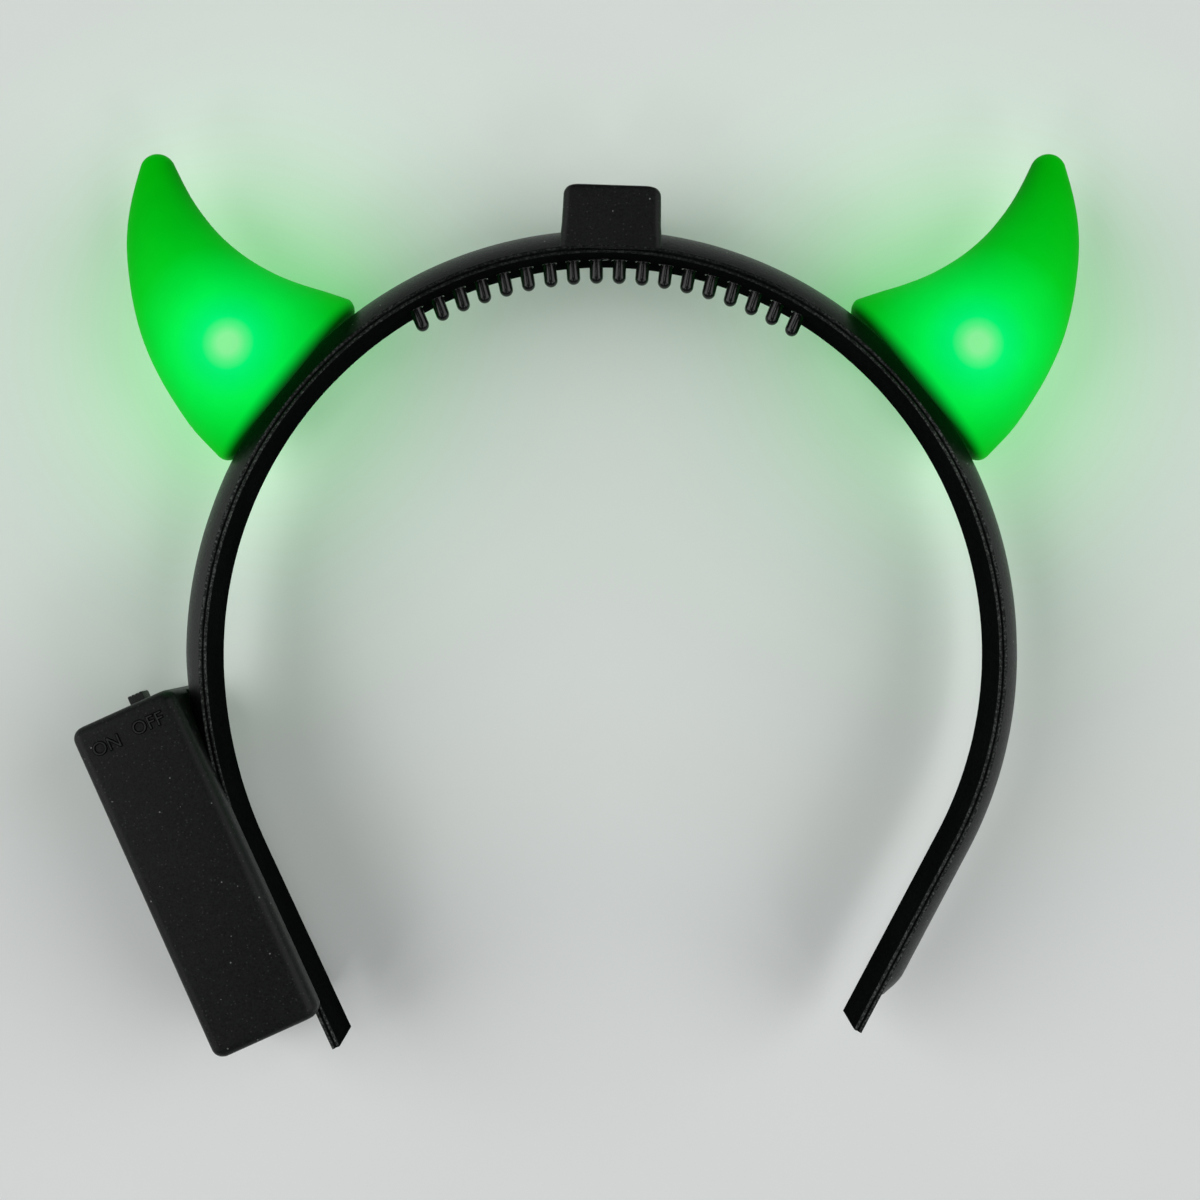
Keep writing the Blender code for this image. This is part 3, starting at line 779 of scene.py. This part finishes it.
class HEADBAND_OT_battery_case(bpy.types.Operator):
    """Battery case with rounded edges, seated round the left arm"""

    bl_idname = "headband.battery_case"
    bl_label = "Battery Case"

    def execute(self, context):
        sizes = context.scene.headband_case
        band = context.scene.headband_band
        half_length = mm(sizes.length) / 2
        depth = mm(sizes.depth)
        end_round, face_round = 2.0, 1.7
        steps = (0, 12, 25, 38, 50, 62, 75, 90)
        rings = []
        for way, turns in ((-1, steps[::-1]), (1, steps)):
            for turn in turns:
                reach = half_length - CASE_TRIM[way]
                along = way * (reach - end_round * (1 - sin(radians(turn))))
                share = (along + half_length) / (2 * half_length)
                half = (mm(sizes.foot_width) + (mm(sizes.top_width) - mm(sizes.foot_width)) * share) / 2
                pull = end_round * (1 - cos(radians(turn)))
                sink = face_round * (1 - cos(radians(turn)))
                radii = [max(0.15, r - pull * 0.7) for r in (2.2, 1.8, 1.6, 1.6)]
                outline = rounded_rectangle(half - pull, sink, depth - sink, radii, 8)
                rings.append([case_frame() @ Vector((x, along, z)) for x, z in outline])
        bm = bmesh.new()
        bridge(bm, rings)
        web = local_box(WEB_LOW, WEB_HIGH, Matrix.Identity(4))
        bmesh.ops.bevel(web, geom=web.edges[:], offset=0.5, segments=3, profile=0.5, affect="EDGES",
                        material=-1)
        centre, radius = hump_arc(band)
        thick = mm(band.thickness)
        half_band = mm(band.width) / 2
        strip_room = [(-4.0, -20.0), (thick, -20.0), (thick, half_band), (-4.0, half_band)]
        hump_room = [(thick - 0.3, -half_band)] + arch(centre, radius - 0.2, thick - 0.05, 12)
        hump_room += [(thick - 0.3, half_band)]
        middle = KEY_SIDE - KEY_TRAVEL / 2
        reach = (KEY_WIDTH + KEY_TRAVEL) / 2 + KEY_GAP
        pocket_half = KEY_DEPTH / 2 + KEY_GAP
        pocket = local_box((middle - reach, half_length - KEY_TAIL - KEY_GAP, MID_Z - pocket_half),
                           (middle + reach, half_length + 2.0, MID_Z + pocket_half), case_frame())
        cutters = [
            (scratch_object(web, "web"), "UNION"),
            (scratch_object(sweep_band(strip_room, -6.0, -6.0, 2.5), "strip_room"), "DIFFERENCE"),
            (scratch_object(sweep_band(hump_room, 0.0, HUMP_STOP_LEFT, 2.5), "hump_room"), "DIFFERENCE"),
            (scratch_object(pocket, "pocket"), "DIFFERENCE"),
        ]
        bm = cut_mesh(bm, cutters)
        finish_piece(bm, "case_shell", MATERIALS["shell"], BODY, "battery_case", sharp=50.0)
        return {"FINISHED"}


class HEADBAND_OT_lettering(bpy.types.Operator):
    """Raised ON and OFF beside the switch, each letter on a near-black sheet a little wider than it: a
    painted shadow round the letter
    """

    bl_idname = "headband.lettering"
    bl_label = "Switch Lettering"

    def execute(self, context):
        sizes = context.scene.headband_case
        turn = Matrix.Rotation(radians(CASE_TURN), 4, "Z")
        for name, material, weight, height in LETTER_LAYERS:
            bm = bmesh.new()
            for word, x, y in WORDS:
                curve = bpy.data.curves.new(word, "FONT")
                curve.body = word
                curve.size = mm(sizes.letter_height) / 0.72
                curve.align_x = "CENTER"
                curve.align_y = "CENTER"
                curve.offset = weight
                curve.extrude = height
                curve.resolution_u = 4
                text = bpy.data.objects.new(word, curve)
                bpy.context.scene.collection.objects.link(text)
                graph = bpy.context.evaluated_depsgraph_get()
                mesh = bpy.data.meshes.new_from_object(text.evaluated_get(graph))
                mesh.transform(Matrix.Translation((x, y, mm(sizes.depth))) @ turn)
                bm.from_mesh(mesh)
                bpy.data.objects.remove(text, do_unlink=True)
            finish_piece(bm, name, MATERIALS[material], BODY, sharp=30.0)
        return {"FINISHED"}


class HEADBAND_OT_switch_key(bpy.types.Operator):
    """Ribbed key of the slide switch"""

    bl_idname = "headband.switch_key"
    bl_label = "Switch Key"

    def execute(self, context):
        sizes = context.scene.headband_case
        half_length = mm(sizes.length) / 2
        half, tip, foot, ribs = KEY_WIDTH / 2, half_length + KEY_PROUD, half_length - KEY_TAIL, 4
        pitch = 2 * half / ribs
        outline = [(-half, foot), (half, foot)]
        for rib in range(ribs):
            start = half - rib * pitch
            outline += [(start - 0.02 * pitch, tip - 0.26), (start - 0.22 * pitch, tip - 0.02),
                        (start - 0.5 * pitch, tip), (start - 0.78 * pitch, tip - 0.02),
                        (start - 0.98 * pitch, tip - 0.26)]
        bm = bmesh.new()
        face = bm.faces.new([bm.verts.new((x + KEY_SIDE, y, MID_Z - KEY_DEPTH / 2)) for x, y in outline])
        made = bmesh.ops.extrude_face_region(bm, geom=[face])["geom"]
        verts = [item for item in made if isinstance(item, bmesh.types.BMVert)]
        bmesh.ops.translate(bm, verts=verts, vec=(0.0, 0.0, KEY_DEPTH))
        rims = [edge for edge in bm.edges if abs(edge.verts[0].co.z - edge.verts[1].co.z) < 1e-5]
        bmesh.ops.bevel(bm, geom=rims, offset=0.08, segments=2, profile=0.5, affect="EDGES", material=-1)
        bmesh.ops.transform(bm, matrix=case_frame(), verts=bm.verts)
        finish_piece(bm, "switch_key", MATERIALS["key"], SWITCH_BODY, "switch_knob", sharp=40.0)
        return {"FINISHED"}


def smooth_row(place):
    """Horn section at a place along the table, on a smooth curve through its rows."""
    last = len(HORN_ROWS) - 1
    index = min(int(place), last - 1)
    t = place - index
    rows = [HORN_ROWS[max(0, min(last, index + shift))] for shift in (-1, 0, 1, 2)]
    result = []
    for a, b, c, d in zip(*rows):
        result.append(0.5 * (2 * b + (c - a) * t + (2 * a - 5 * b + 4 * c - d) * t ** 2
                             + (3 * b - a - 3 * c + d) * t ** 3))
    return result


def horn_section(row, sizes, share, inset, rise=0.0, bend=0.0, hole=0.0, saddle=0.0, sides=64):
    """One oval ring of a horn; a hole radius gives a round ring in the base instead."""
    x, y, angle, half = row
    along = polar(1.0, angle, 0.0)
    across = Vector((along.y, -along.x, 0.0))
    depth = mm(sizes.depth) / 2 * (half / HORN_ROWS[0][3]) ** HORN_DEPTH_POWER
    wide = hole or (half - inset) * share
    deep = hole or (depth - inset) * share
    ring = []
    for side in range(sides):
        turn = 2 * pi * side / sides
        offset = wide * cos(turn)
        lift = rise - bend * (HORN_BASE_RADIUS - sqrt(HORN_BASE_RADIUS ** 2 - offset ** 2))
        lift -= saddle * BASE_SADDLE * (share * sin(turn)) ** 2
        ring.append(Vector((x, y, MID_Z)) + across * offset + along * lift + Vector((0, 0, deep * sin(turn))))
    return ring


def horn_skin(sizes, inset, last_place, edge):
    """Rings of one skin from the edge of the base to its tip."""
    rings = []
    base = smooth_row(0.0)
    for turn in (0, 12, 24, 36, 48, 60, 75, 90):
        round_in = edge * (1 - sin(radians(turn)))
        round_up = edge * (1 - cos(radians(turn)))
        rings.append(horn_section(base, sizes, 1.0, inset + round_in, inset + round_up, 1.0, saddle=1.0))
    places = [0.7 + step * 0.25 for step in range(int((last_place - 0.7) / 0.25))]
    for place in places:
        drop = max(0.0, 1 - place / 3.0) ** 2
        rings.append(horn_section(smooth_row(place), sizes, 1.0, inset, saddle=drop))
    x, y, angle, half = smooth_row(last_place)
    start = radians(TIP_START)
    ball = half / cos(start)
    for step in range(14):
        turn = start + (pi / 2 - start) * min(step / 13, 0.985)
        out = ball * (sin(turn) - sin(start))
        row = (x + out * cos(radians(TIP_DIRECTION)), y + out * sin(radians(TIP_DIRECTION)), angle, half)
        rings.append(horn_section(row, sizes, cos(turn) / cos(start), inset))
    return rings


class HEADBAND_OT_horns(bpy.types.Operator):
    """Pair of hollow vinyl horns, mirrored copies"""

    bl_idname = "headband.horns"
    bl_label = "Horns"

    def execute(self, context):
        sizes = context.scene.headband_horns
        wall = mm(sizes.wall)
        base = smooth_row(0.0)
        outer = horn_skin(sizes, 0.0, 9.0, HORN_EDGE)
        inner = horn_skin(sizes, wall, 7.0, HORN_INNER_EDGE)
        floor = [horn_section(base, sizes, share, HORN_EDGE, 0.0, 1.0, saddle=1.0) for share in FLOOR_SHARES]
        hole = [horn_section(base, sizes, 1.0, 0.0, rise, 1.0, HORN_HOLE) for rise in (0.0, wall)]
        roof = [horn_section(base, sizes, share, HORN_EDGE, wall, 1.0, saddle=1.0)
                for share in FLOOR_SHARES[::-1]]
        for name, side in (("left", 1), ("right", -1)):
            bm = bmesh.new()
            bridge(bm, outer[::-1] + floor + hole + roof + inner)
            bmesh.ops.scale(bm, vec=(side, 1.0, 1.0), verts=bm.verts)
            horn = f"{name}_horn"
            finish_piece(bm, f"vinyl_horn_{name}", MATERIALS[horn], BODY, horn, sharp=70.0)
        return {"FINISHED"}


class HEADBAND_OT_lamps(bpy.types.Operator):
    """Lamp bosses inside the horns, and the finish of the lamps"""

    bl_idname = "headband.lamps"
    bl_label = "Lamps"

    def execute(self, context):
        bm = bmesh.new()
        for angle in (LAMP_POLAR, 180.0 - LAMP_POLAR):
            profile = [(0.0, 0.0), (3.2, 0.0), (3.2, 6.9), (3.0, 7.1), (0.0, 7.1)]
            turned(bm, profile, polar(BOSS_FOOT, angle), polar(1.0, angle, 0.0), 32)
        finish_piece(bm, "lamp_bosses", MATERIALS["hump"], BODY)
        for node in ("left_lamp", "right_lamp"):
            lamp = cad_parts[node]
            for slot in lamp.material_slots:
                slot.material = MATERIALS["lamp"]
        return {"FINISHED"}


class StudioSettings(bpy.types.PropertyGroup):
    """Camera and light of the studio."""

    camera_height: bpy.props.FloatProperty(
        name="Camera height", description="Height of the camera over the floor",
        default=0.3406, subtype="DISTANCE")
    lens: bpy.props.FloatProperty(
        name="Lens", description="Focal length", default=57.28, subtype="DISTANCE_CAMERA")
    side_light: bpy.props.FloatProperty(
        name="Side light", description="Strength of the soft light from the left", default=1.65)
    horn_light: bpy.props.FloatProperty(
        name="Horn light", description="Power of the light that each horn throws",
        default=0.03, subtype="POWER")
    fill_light: bpy.props.FloatProperty(
        name="Fill light", description="Strength of the sky fill", default=0.14)


def soft_light(name, way, spread, power):
    """Even soft light from a far, wide source, coming from a direction."""
    data = bpy.data.lights.new(name, "SUN")
    data.angle = radians(spread)
    data.energy = power
    light = bpy.data.objects.new(name, data)
    light.rotation_euler = Vector(way).to_track_quat("Z", "Y").to_euler()
    bpy.context.scene.collection.objects.link(light)


class HEADBAND_OT_studio(bpy.types.Operator):
    """Pale floor, soft light and the camera straight above"""

    bl_idname = "headband.studio"
    bl_label = "Studio"

    def execute(self, context):
        scene = context.scene
        settings = scene.headband_studio
        bm = bmesh.new()
        bmesh.ops.create_grid(bm, x_segments=2, y_segments=2, size=3.0)
        bmesh.ops.translate(bm, verts=bm.verts, vec=(0.0, 0.0, -0.0002))
        mesh = bpy.data.meshes.new("paper_floor")
        bm.to_mesh(mesh)
        bm.free()
        floor = bpy.data.objects.new("paper_floor", mesh)
        scene.collection.objects.link(floor)
        mesh.materials.append(MATERIALS["paper"])
        for name, way, spread, share in SOFT_LIGHTS:
            soft_light(name, way, spread, settings.side_light * share)
        for side in (-1, 1):
            data = bpy.data.lights.new("horn_glow", "POINT")
            data.energy = settings.horn_light
            data.color = (0.02, 1.0, 0.12)
            data.shadow_soft_size = 0.012
            data.use_shadow = False
            glow = bpy.data.objects.new("horn_glow", data)
            glow.location = head_point((side * GLOW_PLACE[0], GLOW_PLACE[1], MID_Z))
            scene.collection.objects.link(glow)
        world = bpy.data.worlds.new("studio_fill")
        world.use_nodes = True
        background = world.node_tree.nodes["Background"]
        background.inputs["Color"].default_value = (0.96, 0.98, 1.0, 1.0)
        background.inputs["Strength"].default_value = settings.fill_light
        scene.world = world
        scene.view_settings.view_transform = "Standard"
        data = bpy.data.cameras.new("photo_camera")
        data.lens = settings.lens
        data.sensor_width = 36.0
        data.clip_start = 0.01
        camera = bpy.data.objects.new("photo_camera", data)
        centre = head_point(VIEW_MIDDLE)
        camera.location = (centre.x, centre.y, settings.camera_height)
        scene.collection.objects.link(camera)
        scene.camera = camera
        return {"FINISHED"}


class HEADBAND_PT_panel(bpy.types.Panel):
    """Sizes, colours and steps of the headband"""

    bl_idname = "HEADBAND_PT_panel"
    bl_label = "Devil Horns Headband"
    bl_space_type = "VIEW_3D"
    bl_region_type = "UI"
    bl_category = "Headband"

    def draw(self, context):
        layout = self.layout
        for group, names in GROUPS.items():
            box = layout.box()
            for name in names:
                box.prop(getattr(context.scene, group), name)
        for step in STEPS:
            layout.operator(step.bl_idname)


MATERIALS = {}
STEPS = (
    HEADBAND_OT_strip,
    HEADBAND_OT_hump,
    HEADBAND_OT_comb_teeth,
    HEADBAND_OT_crown_box,
    HEADBAND_OT_battery_case,
    HEADBAND_OT_lettering,
    HEADBAND_OT_switch_key,
    HEADBAND_OT_horns,
    HEADBAND_OT_lamps,
    HEADBAND_OT_studio,
)
POINTERS = {
    "headband_band": BandSizes,
    "headband_case": CaseSizes,
    "headband_horns": HornSizes,
    "headband_finish": FinishColours,
    "headband_studio": StudioSettings,
}
GROUPS = {name: tuple(group.__annotations__) for name, group in POINTERS.items()}


def register():
    """Register the classes and give the scene its settings."""
    for group in POINTERS.values():
        bpy.utils.register_class(group)
    for step in STEPS:
        bpy.utils.register_class(step)
    bpy.utils.register_class(HEADBAND_PT_panel)
    for name, group in POINTERS.items():
        setattr(bpy.types.Scene, name, bpy.props.PointerProperty(type=group))


def unregister():
    """Take the settings and classes away again."""
    for name in POINTERS:
        delattr(bpy.types.Scene, name)
    bpy.utils.unregister_class(HEADBAND_PT_panel)
    for step in reversed(STEPS):
        bpy.utils.unregister_class(step)
    for group in reversed(tuple(POINTERS.values())):
        bpy.utils.unregister_class(group)


def make_materials():
    """Every finish of the headband and its stage."""
    colours = bpy.context.scene.headband_finish
    shell = colours.shell
    MATERIALS["shell"] = moulded_abs("moulded_abs_shell", shell, 0.44, 0.16, 0.35, 0.06, 0.9, dust=0.5)
    MATERIALS["hump"] = moulded_abs("moulded_abs_hump", shell, 0.42, 0.28, 0.45, 0.06, 0.6, dust=0.3)
    # The strip's rim ridges carry a painted highlight, fainter towards the crown.
    MATERIALS["rim"] = moulded_abs("moulded_abs_strip", shell, 0.8, 0.0, 0.5, 0.06, 0.5, rim=True)
    MATERIALS["teeth"] = moulded_abs("moulded_abs_teeth", shell, 0.16, 0.3, 0.8, 0.01, 0.2)
    MATERIALS["key"] = moulded_abs("moulded_abs_key", colours.key, 0.5, 0.12, 0.3, 0.03, 0.25)
    # The letters are a lighter grey than the black shell they are moulded from: a painted highlight that lets
    # them stand out.
    MATERIALS["letter"] = moulded_abs("moulded_abs_letter", linear("#202121"), 0.5, 0.2, 0.3, 0.02, 0.2)
    # Matt near-black sheet under each letter, wider than it: a painted shadow round the raised letters.
    foot = linear("#020202")
    MATERIALS["painted_letter_shadow"] = moulded_abs("moulded_abs_painted_letter_shadow", foot, 0.8, 0.0, 0.3, 0.02, 0.2)
    MATERIALS["left_horn"] = lit_vinyl("lit_vinyl_left", colours.horn, -1)
    MATERIALS["right_horn"] = lit_vinyl("lit_vinyl_right", colours.horn, 1)
    MATERIALS["lamp"] = lit_epoxy("lit_epoxy_lamp")
    MATERIALS["paper"] = studio_paper("studio_paper", colours.floor)


def main():
    """Build the whole headband."""
    register()
    make_materials()
    for step in STEPS:
        group, name = step.bl_idname.split(".")
        getattr(getattr(bpy.ops, group), name)()


if __name__ == "__main__":
    main()
